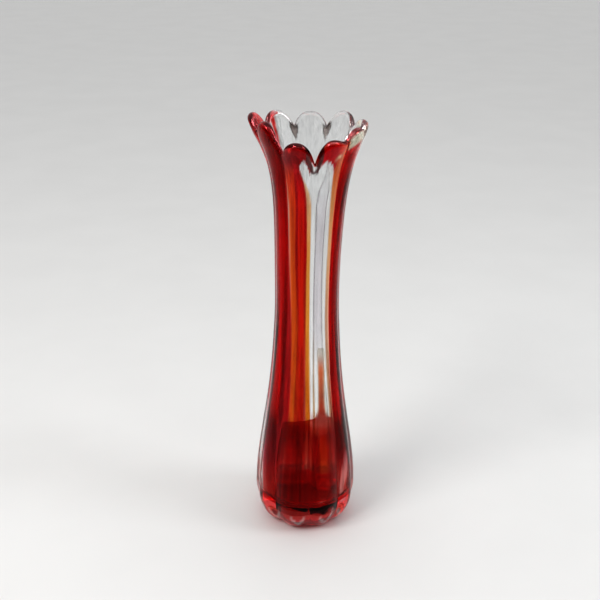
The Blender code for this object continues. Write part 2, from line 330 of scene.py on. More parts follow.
def column_place(column, row):
    """A place on this column: row 0 is where the well's floor starts, and BODY_ROWS where the fingers do."""
    core = CORES[column % len(CORES)][0]
    even = RIB_STEP * column / COLUMNS
    if row <= BODY_ROWS:
        return Place(even, FLOOR_TOP + (FAN_FROM - FLOOR_TOP) * row / BODY_ROWS)
    share = (row - BODY_ROWS) / FAN_ROWS
    core_angle = core.angle + 360 * (column // len(CORES))
    angle = even + (core_angle - even) * share
    return Place(angle, FAN_FROM + (core.z - FAN_FROM) * share, share**2)


def angle_place(angle, row):
    """The same for an angle between columns."""
    column = angle / RIB_STEP * COLUMNS
    low = math.floor(column)
    share = column - low
    a = column_place(low, row)
    if share < 1e-6:
        return a
    b = column_place(low + 1, row)
    return Place(a.angle * (1 - share) + b.angle * share, a.z * (1 - share) + b.z * share, a.square)


def floor_point(angle, row, depth):
    """A point under the well: row 0 is at the well's wall, and -FLOOR_ROWS in the middle."""
    tilt = math.radians(-90 * row / FLOOR_ROWS)
    radius = (well_radius(FLOOR_TOP) + depth) * math.cos(tilt)
    drop = FLOOR_TOP - WELL_FLOOR + FLOOR_THICKENING * depth
    return placed(angle, radius, FLOOR_TOP - drop * math.sin(tilt))


CORES = rim_columns()
AROUND = len(CORES)


# ---------------------------------------------------------------- the tint of the whole wall at each place
CLEAR = (1.0, 1.0, 1.0)
# Painted shade: the dark lines in the clear window stand in for dark surroundings seen through the glass.
DARK_LINE_SHADE = (0.30, 0.27, 0.29)
CREAM = (0.98, 0.95, 0.82)

# Zones round the vase, from its left side to its right: the angles seen from outside where each starts, by
# height, and then its tints by height.
ZONES = (
    (  # deep red of the left side
        ((0.0, -55), (0.04, -57), (0.08, -64), (0.104, -76), (0.13, -92), (0.153, -104), (0.22, -118),
         (0.33, -130), (0.388, -141)),
        ((0.12, (0.66, 0.0, 0.003)), (0.15, (0.82, 0.0, 0.003)), (0.28, (0.92, 0.0, 0.002)),
         (0.32, (0.78, 0.0, 0.003)), (0.355, (0.8, 0.004, 0.006)), (0.37, (0.92, 0.02, 0.02))),
    ),
    (  # darker red of the second finger
        ((0.12, -45), (0.153, -45), (0.205, -50), (0.31, -52), (0.345, -80), (0.388, -80)),
        ((0.15, (0.64, 0.0, 0.003)), (0.28, (0.8, 0.0, 0.002)), (0.32, (0.64, 0.0, 0.003)),
         (0.345, (0.52, 0.0, 0.004)), (0.37, (0.46, 0.0, 0.004))),
    ),
    (  # darkest stripe
        ((0.12, -43), (0.153, -43.5), (0.205, -48), (0.276, -42), (0.319, -45), (0.388, -45)),
        ((0.15, (0.2, 0.0, 0.0)), (0.205, (0.36, 0.0, 0.0)), (0.276, (0.58, 0.0, 0.0)),
         (0.32, (0.54, 0.0, 0.003)), (0.36, (0.42, 0.0, 0.006))),
    ),
    (  # red beside it
        ((0.12, -36), (0.153, -36.5), (0.205, -37.3), (0.276, -35.5), (0.319, -39), (0.388, -39.4)),
        ((0.15, (0.46, 0.0, 0.002)), (0.205, (0.46, 0.002, 0.006)), (0.276, (0.56, 0.0, 0.0)),
         (0.32, (0.48, 0.0, 0.003)), (0.36, (0.4, 0.0, 0.006))),
    ),
    (  # thin salmon streak
        ((0.12, -25), (0.153, -25.3), (0.205, -27.6), (0.276, -34.7), (0.319, -38.6), (0.388, -38.8)),
        ((0.205, (0.7, 0.1, 0.06)), (0.276, (0.85, 0.24, 0.17)), (0.319, (0.98, 0.42, 0.32)),
         (0.34, (0.8, 0.2, 0.15)), (0.353, (0.34, 0.0, 0.006))),
    ),
    (  # orange
        ((0.12, -24.8), (0.153, -25.0), (0.205, -27.4), (0.276, -31.1), (0.319, -32.9), (0.344, -35.7),
         (0.388, -36)),
        ((0.13, (0.66, 0.06, 0.006)), (0.205, (0.8, 0.085, 0.006)), (0.276, (0.84, 0.075, 0.005)),
         (0.32, (0.96, 0.055, 0.005)), (0.342, (0.95, 0.035, 0.006)), (0.358, (0.3, 0.0, 0.006))),
    ),
    (  # redder orange
        ((0.12, -20.5), (0.153, -20.7), (0.205, -21), (0.276, -27), (0.319, -27.5), (0.344, -28),
         (0.388, -28)),
        ((0.13, (0.8, 0.11, 0.01)), (0.205, (0.7, 0.055, 0.005)), (0.276, (0.8, 0.065, 0.005)),
         (0.32, (0.9, 0.04, 0.004)), (0.342, (0.9, 0.03, 0.006)), (0.358, (0.3, 0.0, 0.006))),
    ),
    (  # red-brown line
        ((0.12, -17), (0.153, -17.4), (0.205, -15.7), (0.276, -22.4), (0.319, -21.3), (0.388, -22.1)),
        ((0.15, (0.55, 0.018, 0.003)), (0.205, (0.55, 0.01, 0.003)), (0.276, (0.42, 0.004, 0.002)),
         (0.35, (0.55, 0.0, 0.008)), (0.362, (0.3, 0.0, 0.006))),
    ),
    (  # scarlet
        ((0.12, -12), (0.153, -12), (0.205, -13), (0.276, -17), (0.319, -17.6), (0.388, -19)),
        ((0.15, (0.58, 0.01, 0.003)), (0.205, (0.74, 0.01, 0.003)), (0.276, (0.82, 0.012, 0.003)),
         (0.32, (0.82, 0.008, 0.005)), (0.35, (0.66, 0.0, 0.01)), (0.362, (0.3, 0.0, 0.006))),
    ),
    (  # darker margin of the scarlet
        ((0.12, -4), (0.153, -3.9), (0.205, -6), (0.276, -7.1), (0.319, -8.6), (0.335, -11), (0.345, -12.5),
         (0.3575, -16), (0.388, -16)),
        ((0.15, (0.7, 0.06, 0.04)), (0.205, (0.6, 0.02, 0.008)), (0.276, (0.5, 0.0, 0.002)),
         (0.35, (0.46, 0.0, 0.006)), (0.362, (0.3, 0.0, 0.006))),
    ),
    (  # amber edge of the window
        ((0.12, -1), (0.153, -1.7), (0.205, -2.5), (0.276, -2.5), (0.319, -5.3), (0.33, -6.8),
         (0.342, -10.2), (0.3467, -11.8), (0.3575, -15), (0.388, -15)),
        ((0.15, (0.66, 0.14, 0.008)), (0.205, (0.88, 0.3, 0.03)), (0.276, (0.94, 0.36, 0.06)),
         (0.32, (0.96, 0.48, 0.22)), (0.338, (0.98, 0.62, 0.36)), (0.345, (1.0, 0.9, 0.85))),
    ),
    (  # clear window
        ((0.12, 6.4), (0.153, 6.2), (0.205, 4.6), (0.276, 3.2), (0.319, 1.3), (0.33, -2), (0.342, -9),
         (0.3467, -10.7), (0.3575, -13.9), (0.388, -13.9)),
        ((0.1, CLEAR),),
    ),
    (  # first dark line in the window, painted shade
        ((0.12, 10.2), (0.153, 10.2), (0.205, 11.0), (0.276, 10.6), (0.319, 9.2), (0.332, 11.5),
         (0.344, 18), (0.352, 19.0), (0.388, 19.0)),
        ((0.13, (0.55, 0.3, 0.1)), (0.17, (0.45, 0.3, 0.18)), (0.21, DARK_LINE_SHADE), (0.33, DARK_LINE_SHADE),
         (0.345, (0.7, 0.66, 0.68))),
    ),
    (  # greyish middle of the window
        ((0.12, 13.0), (0.153, 12.6), (0.205, 12.4), (0.276, 12.1), (0.319, 10.8), (0.332, 13),
         (0.344, 19.2), (0.352, 20.2), (0.388, 20.2)),
        ((0.15, CLEAR), (0.21, (0.84, 0.8, 0.84)), (0.3, (0.8, 0.76, 0.8)), (0.34, (0.92, 0.92, 0.93))),
    ),
    (  # second dark line, painted shade
        ((0.12, 32.0), (0.153, 29.5), (0.205, 25.6), (0.276, 23.6), (0.319, 23.6), (0.332, 25.4),
         (0.344, 24.4), (0.352, 21.2), (0.388, 21.2)),
        ((0.13, (0.45, 0.42, 0.36)), (0.2, DARK_LINE_SHADE), (0.33, DARK_LINE_SHADE), (0.342, (0.6, 0.5, 0.5))),
    ),
    (  # clear window again
        ((0.12, 33.5), (0.153, 31.0), (0.205, 27.0), (0.276, 25.2), (0.319, 25.0), (0.332, 26.4),
         (0.344, 25.0), (0.352, 21.8), (0.388, 21.8)),
        ((0.1, CLEAR),),
    ),
    (  # tan line
        ((0.12, 35.8), (0.153, 34.5), (0.205, 32.5), (0.276, 33.5), (0.319, 31.1), (0.3485, 28.8),
         (0.354, 26.0), (0.36, 23.0), (0.388, 23.0)),
        ((0.15, (0.48, 0.22, 0.1)), (0.205, (0.62, 0.3, 0.17)), (0.276, (0.9, 0.43, 0.17)),
         (0.32, (0.86, 0.3, 0.06)), (0.345, (0.84, 0.12, 0.015)), (0.362, (0.6, 0.02, 0.01))),
    ),
    (  # salmon and orange edge
        ((0.12, 40), (0.153, 39), (0.205, 37.1), (0.276, 38.6), (0.319, 37), (0.344, 34), (0.388, 34)),
        ((0.15, (0.8, 0.36, 0.24)), (0.205, (0.98, 0.5, 0.34)), (0.276, (0.98, 0.42, 0.18)),
         (0.32, (0.94, 0.24, 0.07)), (0.345, (0.85, 0.11, 0.012)), (0.37, (0.8, 0.1, 0.02))),
    ),
    (  # dark red beside it
        ((0.12, 44), (0.153, 43.9), (0.205, 44), (0.276, 45.4), (0.319, 43.3), (0.34, 45), (0.352, 49),
         (0.388, 49)),
        ((0.15, (0.52, 0.0, 0.003)), (0.276, (0.64, 0.0, 0.003)), (0.32, (0.54, 0.0, 0.003)),
         (0.36, (0.52, 0.0, 0.003))),
    ),
    (  # brighter red
        ((0.12, 52), (0.205, 52), (0.32, 52), (0.352, 56), (0.388, 56)),
        ((0.15, (0.74, 0.004, 0.006)), (0.276, (0.86, 0.002, 0.002)), (0.32, (0.74, 0.0, 0.003)),
         (0.36, (0.7, 0.0, 0.003))),
    ),
    (  # red of the right side
        ((0.12, 64), (0.205, 64), (0.388, 64)),
        ((0.15, (0.9, 0.0, 0.004)), (0.276, (0.9, 0.0, 0.004)), (0.32, (0.86, 0.0, 0.006)),
         (0.36, (0.8, 0.0, 0.008))),
    ),
    (  # clear from here round the back
        ((0.0, 94), (0.06, 100), (0.09, 120), (0.2, 126), (0.33, 118), (0.388, 102)),
        ((0.1, CLEAR),),
    ),
)
ZONE_SOFTNESS = 0.4

# The foot: tints by the angle seen from outside, which turn into the sole's tint lower down.
FOOT_TINTS = (
    (-56, (0.34, 0.0, 0.02)), (-42, (0.3, 0.0, 0.01)), (-30, (0.36, 0.002, 0.004)),
    (-27, (0.5, 0.08, 0.08)), (-24, (0.38, 0.004, 0.006)), (-15, (0.44, 0.02, 0.02)),
    (-11, (0.36, 0.004, 0.004)), (-4, (0.44, 0.035, 0.03)), (-1.6, (0.42, 0.03, 0.03)),
    (0.8, (0.7, 0.3, 0.24)), (3.2, (0.42, 0.04, 0.035)), (5, (0.42, 0.04, 0.035)), (7.2, (0.6, 0.2, 0.15)),
    (9.4, (0.4, 0.02, 0.02)), (13, (0.34, 0.005, 0.005)), (17, (0.36, 0.01, 0.005)),
    (20, (0.66, 0.13, 0.02)), (27, (0.62, 0.11, 0.02)), (30, (0.38, 0.01, 0.006)), (33, (0.6, 0.22, 0.17)),
    (36, (0.4, 0.02, 0.012)), (44, (0.42, 0.02, 0.015)), (52, (0.34, 0.0, 0.01)), (92, (0.4, 0.0, 0.01)),
)
SOLE_TINT = (0.72, 0.05, 0.04)
SOLE_FADE = (0.030, 0.085)
FOOT_TOP = 0.108
FOOT_TOP_WAVE = 0.007
FOOT_TOP_FADE = (-0.004, 0.005)

# The clear almond low on the right, which leans to the right and narrows upwards.
ALMOND_MIDDLE = 0.054
ALMOND_ANGLE = 57.0
ALMOND_TALL = 0.026
ALMOND_WIDE = 10.0
ALMOND_LEAN = 300
ALMOND_TAPER = 6

# The foot's edge, and painted glints: a V of clear glass at four places.
HEEL_TINT = (0.82, 0.035, 0.045)
HEEL_FADE = (0.010, 0.022)
GLINTS = (-42, -9, 26, 54)
GLINT_WIDE = 9
GLINT_FOOT = 0.008
GLINT_RISE = 0.010
GLINT_THICK = 0.0034

# The back wedge, whose point is only in the overlay, and the pool under the well.
WEDGE_TINTS = (
    (0.015, (0.95, 0.40, 0.32)),
    (0.035, (0.80, 0.10, 0.06)),
    (0.06, (0.42, 0.02, 0.01)),
    (0.085, (0.42, 0.02, 0.01)),
    (0.11, (0.60, 0.05, 0.01)),
    (0.14, (0.78, 0.14, 0.04)),
)
WEDGE_EDGE_TINT = (1.0, 0.93, 0.80)
WEDGE_EDGE_DEPTHS = (0.002, 0.022)
WEDGE_POINT_FROM = (0.082, 0.092)
WEDGE_IN_SKIN = 0.080
WEDGE_SKIN_SOFTNESS = 0.001
WEDGE_SKIN_FADE = 0.006
POOL_TINT = (0.94, 0.12, 0.10)

# The top of the clear window: two arches, as angle, half width, crown and drop.
WINDOW_SIDES = (-17, 30)
WINDOW_FOOT = 0.05
WINDOW_TOP = 0.3575
WINDOW_ARCHES = ((-9.0, 6.0, 0.3598, 0.010), (19.0, 9.0, 0.3585, 0.007))
ARCH_REACH = 1.3
ARCH_FADE = (-0.0005, 0.0008)
WINDOW_PARTING = 4
RED_ABOVE_LEFT = (0.34, 0.0, 0.006)
RED_ABOVE_RIGHT = (0.56, 0.002, 0.012)
CLEAR_ZONE = 11
TAN_ZONE = 16

# Clear parts of the fingers: above this line at the right, and beside the red tongue at the back left.
CLEAR_FINGERS = (44, 112)
CLEAR_FINGERS_FROM = (
    (44, 0.395),
    (46, 0.366),
    (58, 0.361),
    (66, 0.362),
    (80, 0.372),
    (92, 0.360),
    (108, 0.352),
)
CLEAR_FINGER_SOFTNESS = 0.0006
BESIDE_TONGUE_FROM = (-133, -131)
BESIDE_TONGUE_TO = (-120.5, -118.5)
BESIDE_TONGUE_FOOT = (0.360, 0.366)

# Painted light at the rolled edge, the limbs of the front notch, painted reflections at two back notches and
# painted highlights in the fingers.
RED_LIP = (-139, 74)
# Painted highlight: a paler pink rolled edge in front. Painted shade: grey outlines on the clear rims at the
# back.
LIP_PAINTED_HIGHLIGHT = (0.82, 0.30, 0.32)
LIP_HIGHLIGHT_FADE = (0.0012, 0.0028)
BACK_LIP_PAINTED_SHADE = (0.62, 0.62, 0.63)
BACK_LIP_SHADE_FADE = (0.0, 0.0016)
NOTCH_TINT = (0.11, 0.03, 0.03)
NOTCH_FOOT = 0.3465
NOTCH_TOP = 0.362
NOTCH_SOFTNESS = 0.002
NOTCH_LIMBS = ((2.3, -5.7), (7.0, 4.6))
NOTCH_LIMB_WIDE = 2.8
# Painted reflection: a dark grey-brown ring, paler inside, at each of two back notches.
BACK_NOTCH_REFLECTIONS = (160, -160)
BACK_NOTCH_DARK_REFLECTION = (0.07, 0.05, 0.045)
BACK_NOTCH_PALE_REFLECTION = (0.36, 0.29, 0.27)
BACK_NOTCH_WIDE = 6.0
BACK_NOTCH_BELOW = 0.007
BACK_NOTCH_TALL = 0.0060
# Painted highlights where the rounded fingers gather light like lenses: an amber-white arc and two bright red
# spots.
BEAD_HIGHLIGHTS = (
    (31.0, 0.3615, 6.5, 0.0017, (1.0, 0.72, 0.40)),
    (35.0, 0.3685, 6.0, 0.0040, (0.95, 0.03, 0.010)),
    (-22.0, 0.3710, 3.0, 0.0030, (0.90, 0.02, 0.020)),
)

# How much further round a buried colour is than the skin over it: in front, more at the sides, and behind.
SHIFT_FRONT = 7
SHIFT_SIDES = 3.5
SHIFT_BACK = -4.4
BACK_TO_FRONT = (-0.3, 0.1)

# The strength of the tints, and the least green and blue that keep the reds from turning purple.
TINT_STRENGTH = 0.76
LEAST_GREEN = 0.002
LEAST_BLUE = 0.003
GREEN_WITH_BLUE = 0.7
BLUE_MATCHED_TO = 0.01
FINGERS_IN_SKIN = 0.8
FINGERS_IN_SKIN_FROM = (0.338, 0.352)


def blend(a, b, share):
    return tuple(p + (q - p) * share for p, q in zip(a, b))


def ease(low, high, x):
    t = min(max((x - low) / (high - low), 0.0), 1.0)
    return t * t * (3 - 2 * t)


def shade(stops, x):
    """The tint at x, straight between (x, tint) stops."""
    if x <= stops[0][0]:
        return stops[0][1]
    for (x0, a), (x1, b) in zip(stops, stops[1:]):
        if x <= x1:
            return blend(a, b, (x - x0) / (x1 - x0))
    return stops[-1][1]


def line(points, x):
    """The value at x, straight between (x, value) points."""
    return shade([(p, (v,)) for p, v in points], x)[0]


@functools.lru_cache(maxsize=None)
def zones_at(z):
    return [(line(starts, z), shade(tints, z)) for starts, tints in ZONES]


def zone_tint(angle, z):
    """The tint by zone, softened a little across each edge."""
    zones = zones_at(round(z, 4))
    before = zones[-1][1]
    for start, tint in zones:
        if angle < start - ZONE_SOFTNESS:
            return before
        if angle < start + ZONE_SOFTNESS:
            return blend(before, tint, (angle - start + ZONE_SOFTNESS) / (2 * ZONE_SOFTNESS))
        before = tint
    return before


def wave(angle):
    """A slow unevenness from -1 to 1 round the vase."""
    a = math.radians(angle)
    return (math.sin(11 * a) + math.sin(23 * a + 1.7) + math.sin(47 * a + 0.6)) / 3


def with_foot(colour, angle, z):
    foot = blend(SOLE_TINT, shade(FOOT_TINTS, angle), ease(*SOLE_FADE, z))
    top = FOOT_TOP + FOOT_TOP_WAVE * wave(3 * angle)
    return blend(foot, colour, ease(top + FOOT_TOP_FADE[0], top + FOOT_TOP_FADE[1], z))


def with_almond(colour, angle, z):
    up = z - ALMOND_MIDDLE
    across = (angle - ALMOND_ANGLE - ALMOND_LEAN * up) / ALMOND_WIDE / (1.0 - ALMOND_TAPER * up)
    return blend(CLEAR, colour, ease(0.85, 1.0, math.hypot(up / ALMOND_TALL, across)))


def with_wedge(colour, angle, z):
    """The low part of the back wedge, which the skin shows too."""
    buried = (angle + widened(angle)) % 360
    if not WEDGE_TOPS[0][0] < buried < WEDGE_TOPS[-1][0]:
        return colour
    top = min(smooth(WEDGE_TOPS, buried), WEDGE_IN_SKIN)
    return blend(shade(WEDGE_TINTS, z), colour, ease(top - WEDGE_SKIN_SOFTNESS, top + WEDGE_SKIN_SOFTNESS, z))


def with_heel_and_glints(colour, angle, z):
    colour = blend(HEEL_TINT, colour, ease(*HEEL_FADE, z))
    # Painted glints: a V of clear glass between ribs, which the foot's strong shine turns white.
    for glint in GLINTS:
        reach = abs(angle - glint) / GLINT_WIDE
        limb = abs(z - GLINT_FOOT - GLINT_RISE * reach) / GLINT_THICK
        colour = blend(colour, CLEAR, (1 - ease(0.5, 1.0, limb)) * (1 - ease(0.8, 1.1, reach)))
    return colour


def with_window_top(colour, angle, z):
    """The red that closes the clear window in two arches."""
    if not WINDOW_SIDES[0] < angle < WINDOW_SIDES[1]:
        return colour
    top = WINDOW_TOP
    for centre, half, crown, drop in WINDOW_ARCHES:
        if abs(angle - centre) < half * ARCH_REACH:
            top = crown - drop * ((angle - centre) / half) ** 2
    above = RED_ABOVE_LEFT if angle < WINDOW_PARTING else RED_ABOVE_RIGHT
    return blend(colour, above, ease(top + ARCH_FADE[0], top + ARCH_FADE[1], z))


def with_clear_fingers(colour, angle, z):
    if CLEAR_FINGERS[0] < angle < CLEAR_FINGERS[1]:
        over = z - line(CLEAR_FINGERS_FROM, angle)
        colour = blend(colour, CREAM, ease(-CLEAR_FINGER_SOFTNESS, CLEAR_FINGER_SOFTNESS, over))
    beside_tongue = ease(*BESIDE_TONGUE_FROM, angle) * (1 - ease(*BESIDE_TONGUE_TO, angle))
    return blend(colour, CLEAR, beside_tongue * ease(*BESIDE_TONGUE_FOOT, z))


def with_painted_lip_light(colour, angle, below_rim):
    # Paints light on the rolled edge: a paler pink highlight in front, grey painted shade on the clear back
    # rims.
    if RED_LIP[0] < angle < RED_LIP[1]:
        return blend(LIP_PAINTED_HIGHLIGHT, colour, ease(*LIP_HIGHLIGHT_FADE, below_rim))
    return blend(BACK_LIP_PAINTED_SHADE, colour, ease(*BACK_LIP_SHADE_FADE, below_rim))


def with_front_notch(colour, angle, z):
    """The two dark limbs under the front notch, each with its angle there and how far it swings out."""
    if z <= NOTCH_FOOT:
        return colour
    spread = ease(NOTCH_FOOT, NOTCH_TOP, z)
    risen = ease(NOTCH_FOOT, NOTCH_FOOT + NOTCH_SOFTNESS, z)
    for foot, swing in NOTCH_LIMBS:
        inside = 1 - ease(0.75, 1.1, abs(angle - foot - swing * spread) / NOTCH_LIMB_WIDE)
        colour = blend(colour, NOTCH_TINT, inside * risen)
    return colour


def with_back_notch_reflections(colour, angle, below_rim):
    # Paints the reflections of the red glass inside the thick lip at two back notches.
    for notch in BACK_NOTCH_REFLECTIONS:
        low = (below_rim - BACK_NOTCH_BELOW) / BACK_NOTCH_TALL
        near = math.hypot((angle - notch) / BACK_NOTCH_WIDE, low)
        reflection = blend(BACK_NOTCH_PALE_REFLECTION, BACK_NOTCH_DARK_REFLECTION, ease(0.35, 0.75, near))
        colour = blend(reflection, colour, ease(0.8, 1.1, near))
    return colour


def with_bead_highlights(colour, angle, z):
    # Paints the bead highlights into the fingers.
    for centre, middle, wide, tall, tint in BEAD_HIGHLIGHTS:
        near = math.hypot((angle - centre) / wide, (z - middle) / tall)
        colour = blend(tint, colour, ease(0.6, 1.05, near))
    return colour


def tint_at(angle, z, below_rim):
    """The tint of the whole wall at an angle seen from outside, with its painted highlights, shade,
    reflections and glints.
    """
    angle = (angle + 180) % 360 - 180
    colour = zone_tint(angle, z)
    if line(ZONES[0][0], z) < angle < line(ZONES[-1][0], z):
        colour = with_almond(with_foot(colour, angle, z), angle, z)
    else:
        colour = with_wedge(colour, angle, z)
    colour = with_heel_and_glints(colour, angle, z)
    colour = with_window_top(colour, angle, z)
    colour = with_clear_fingers(colour, angle, z)
    colour = with_painted_lip_light(colour, angle, below_rim)
    colour = with_front_notch(colour, angle, z)
    colour = with_back_notch_reflections(colour, angle, below_rim)
    return with_bead_highlights(colour, angle, z)


def widened(angle):
    """How much further round the buried colour is than where a front view crosses the skin for it."""
    side = math.sin(math.radians(angle))
    front = ease(*BACK_TO_FRONT, math.cos(math.radians(angle)))
    return side * ((SHIFT_FRONT + SHIFT_SIDES * side**2) * front + SHIFT_BACK * (1 - front))


def finished(colour):
    """The tint at this wall's strength, with reds kept from turning towards purple."""
    red, green, blue = colour
    green = max(green, LEAST_GREEN, GREEN_WITH_BLUE * min(blue, BLUE_MATCHED_TO))
    return (red**TINT_STRENGTH, green**TINT_STRENGTH, max(blue, LEAST_BLUE) ** TINT_STRENGTH)


def fingers_in_skin(z):
    """How much of the overlay's share of the tint the skin takes over in the fingers."""
    return FINGERS_IN_SKIN * ease(*FINGERS_IN_SKIN_FROM, z)


def skin_tint(angle, z):
    """The skin's share of the tint: half its depth, but most of it in the fingers and all in the window."""
    true = turned(angle)
    colour = finished(tint_at(true, z, rim_height(angle) - z))
    left = line(ZONES[CLEAR_ZONE][0], z)
    right = line(ZONES[TAN_ZONE][0], z)
    if z > WINDOW_FOOT and left < true < right:
        return tuple(c**2 for c in colour)
    return tuple(c ** (1 + fingers_in_skin(z)) for c in colour)


def sheet_tint(place):
    """The overlay's own share, seen from outside nearer the middle than it is."""
    angle, z = place
    true = turned(angle)
    seen = true
    for _ in range(5):
        seen = true - widened(seen)
    share = 0.5 * (1 - fingers_in_skin(z))
    return tuple(c**share for c in finished(tint_at(seen, z, 1.0)))


def wedge_tint(place):
    """The wedge's share of the tint: all of it in its point, which is paler along its edge."""
    angle, z = place
    below = smooth(WEDGE_TOPS, angle % 360) - z
    feather = (1 - ease(*WEDGE_EDGE_DEPTHS, below)) * ease(*WEDGE_POINT_FROM, z)
    colour = finished(blend(shade(WEDGE_TINTS, z), WEDGE_EDGE_TINT, feather))
    in_point = ease(WEDGE_IN_SKIN - WEDGE_SKIN_FADE, WEDGE_IN_SKIN + WEDGE_SKIN_FADE, z)
    return blend([math.sqrt(c) for c in colour], colour, in_point)


# ---------------------------------------------------------------- meshes
SKIN_SLOT = 0
SEAM_SLOT = 1
LIP_SLOT = 2
SOLE_SLOT = 3
FOOT_SLOT = 4


def add_mesh(name, points, faces, slots, materials, uvs, tints=None):
    """A smooth mesh with its materials, its (across, up) coordinates and the glass's tint at each point."""
    mesh = bpy.data.meshes.new(name)
    mesh.from_pydata(points, [], faces)
    for material in materials:
        mesh.materials.append(material)
    for polygon, slot in zip(mesh.polygons, slots):
        polygon.material_index = slot
    layer = mesh.uv_layers.new(name="across_up")
    corner = 0
    for face_uvs in uvs:
        for uv in face_uvs:
            layer.data[corner].uv = uv
            corner += 1
    if tints:
        colours = mesh.color_attributes.new("tint", "FLOAT_COLOR", "POINT")
        for datum, colour in zip(colours.data, tints):
            datum.color = (*colour, 1.0)
    mesh.shade_smooth()
    mesh.set_sharp_from_angle(angle=math.radians(SHARP_ANGLE))
    piece = bpy.data.objects.new(name, mesh)
    bpy.context.scene.collection.objects.link(piece)
    return piece


def add_rings(name, first, rings, last, slots, materials, tinted=False):
    """A closed body through rings of (point, angle, height), from one middle point to another."""
    count = len(rings[0])
    points = [first] + [p for r in rings for p, _, _ in r] + [last]
    coords = [[(a / 360, z) for _, a, z in r] for r in rings]
    end = len(points) - 1
    faces = []
    face_slots = []
    uvs = []

    def uv(ring, i):
        a, z = coords[ring][i % count]
        return (a + (1.0 if i >= count else 0.0), z)

    for i in range(count):
        j = (i + 1) % count
        faces.append((0, 1 + j, 1 + i))
        face_slots.append(slots[0])
        uvs.append((uv(0, i), uv(0, i + 1), uv(0, i)))
        for k in range(len(rings) - 1):
            low = 1 + k * count
            high = low + count
            faces.append((low + i, low + j, high + j, high + i))
            face_slots.append(slots[k + 1])
            uvs.append((uv(k, i), uv(k, i + 1), uv(k + 1, i + 1), uv(k + 1, i)))
        top = 1 + (len(rings) - 1) * count
        faces.append((top + i, top + j, end))
        face_slots.append(slots[-1])
        uvs.append((uv(len(rings) - 1, i), uv(len(rings) - 1, i + 1), uv(len(rings) - 1, i)))
    tints = None
    if tinted:
        tints = [skin_tint(a, z) for r in rings for _, a, z in r]
        tints = [tints[0]] + tints + [tints[-1]]
    return add_mesh(name, points, faces, face_slots, materials, uvs, tints)


def wall_ring(row, depth=None):
    """A ring at this row of the wall, at a depth from the well, or on the outside."""
    ring = []
    for c in range(AROUND):
        place = column_place(c, row)
        point = place.outside() if depth is None else place.at(depth)
        ring.append((point, place.angle, place.z))
    return ring


def floor_ring(row, depth):
    ring = []
    for c in range(AROUND):
        angle = RIB_STEP * c / COLUMNS
        point = floor_point(angle, row, depth)
        ring.append((point, angle, point.z))
    return ring


def outer_ring(z):
    ring = []
    for c in range(AROUND):
        angle = RIB_STEP * c / COLUMNS
        ring.append((placed(angle, outer_radius(angle, z), z), angle, z))
    return ring


def foot_ring(tilt):
    return outer_ring(FOOT_HEIGHT * (1 - math.sin(math.radians(tilt))))


def lip_ring(tilt):
    """A ring round the rolled lip: 90 is its outer start, 0 its edge and -90 its inner end."""
    ring = []
    for core, reach, angle in CORES:
        over = math.radians(tilt)
        point = core.middle + core.across * core.half * math.sin(over) + reach * math.cos(over)
        ring.append((point, core.angle + (angle - core.angle) * math.cos(over), point.z))
    return ring


def cup_rings(depth, top_row):
    """Rings of one layer's surface, from beneath the well's middle to the top."""
    rings = [floor_ring(row, depth) for row in range(1 - FLOOR_ROWS, 0)]
    return rings + [wall_ring(row, depth) for row in [*range(BODY_ROWS + FAN_ROWS), top_row]]


def add_casing(name, materials):
    """The outer body: its sole, foot, side and lip, and the seat for the layers inside it."""
    top = BODY_ROWS + FAN_ROWS
    foot = [foot_ring(t) for t in FOOT_TILTS]
    side = [outer_ring(FOOT_HEIGHT)] + [wall_ring(row) for row in range(top + 1)]
    lip = [lip_ring(t) for t in LIP_TILTS]
    inner = [wall_ring(top, 0.0)]
    seat = cup_rings(CASING_INNER, top)[::-1]
    slots = [SOLE_SLOT] * 2 + [FOOT_SLOT] * (len(foot) - 3) + [SKIN_SLOT] * (len(side) + 1)
    slots += [LIP_SLOT] * (len(lip) + 1) + [SEAM_SLOT] * (len(seat) + 1)
    low = WELL_FLOOR - FLOOR_THICKENING * CASING_INNER
    rings = foot + side + lip + inner + seat
    return add_rings(name, (0, 0, 0), rings, (0, 0, low), slots, materials, tinted=True)


def add_lining(name, skin, seam):
    top = BODY_ROWS + FAN_ROWS - LINING_TOP_INSET
    outside = cup_rings(LINING, top)
    inside = cup_rings(0.0, top)[::-1]
    slots = [SEAM_SLOT] * (len(outside) + 1) + [SKIN_SLOT] * len(inside)
    lowest = WELL_FLOOR - FLOOR_THICKENING * LINING
    return add_rings(name, (0, 0, lowest), outside + inside, (0, 0, WELL_FLOOR), slots, [skin, seam])


def add_pool(name, glass):
    under = [floor_ring(r, COLOUR_OUTER) for r in POOL_ROWS]
    over = [floor_ring(r, COLOUR_INNER) for r in POOL_ROWS][::-1]
    lowest = (0, 0, WELL_FLOOR - FLOOR_THICKENING * COLOUR_OUTER)
    highest = (0, 0, WELL_FLOOR - FLOOR_THICKENING * COLOUR_INNER)
    rings = under + over
    pool = add_rings(name, lowest, rings, highest, [0] * (len(rings) + 1), [glass])
    colours = pool.data.color_attributes.new("tint", "FLOAT_COLOR", "POINT")
    for datum in colours.data:
        datum.color = (*POOL_TINT, 1.0)
    return pool


def sheet_point(angle, row, depth):
    """A point of an overlay, with the rib angle and height that its tint is taken at."""
    if row < 0:
        point = floor_point(angle, row, depth)
        return point, (angle, point.z)
    place = angle_place(angle, row)
    return place.at(depth), (place.angle, place.z)


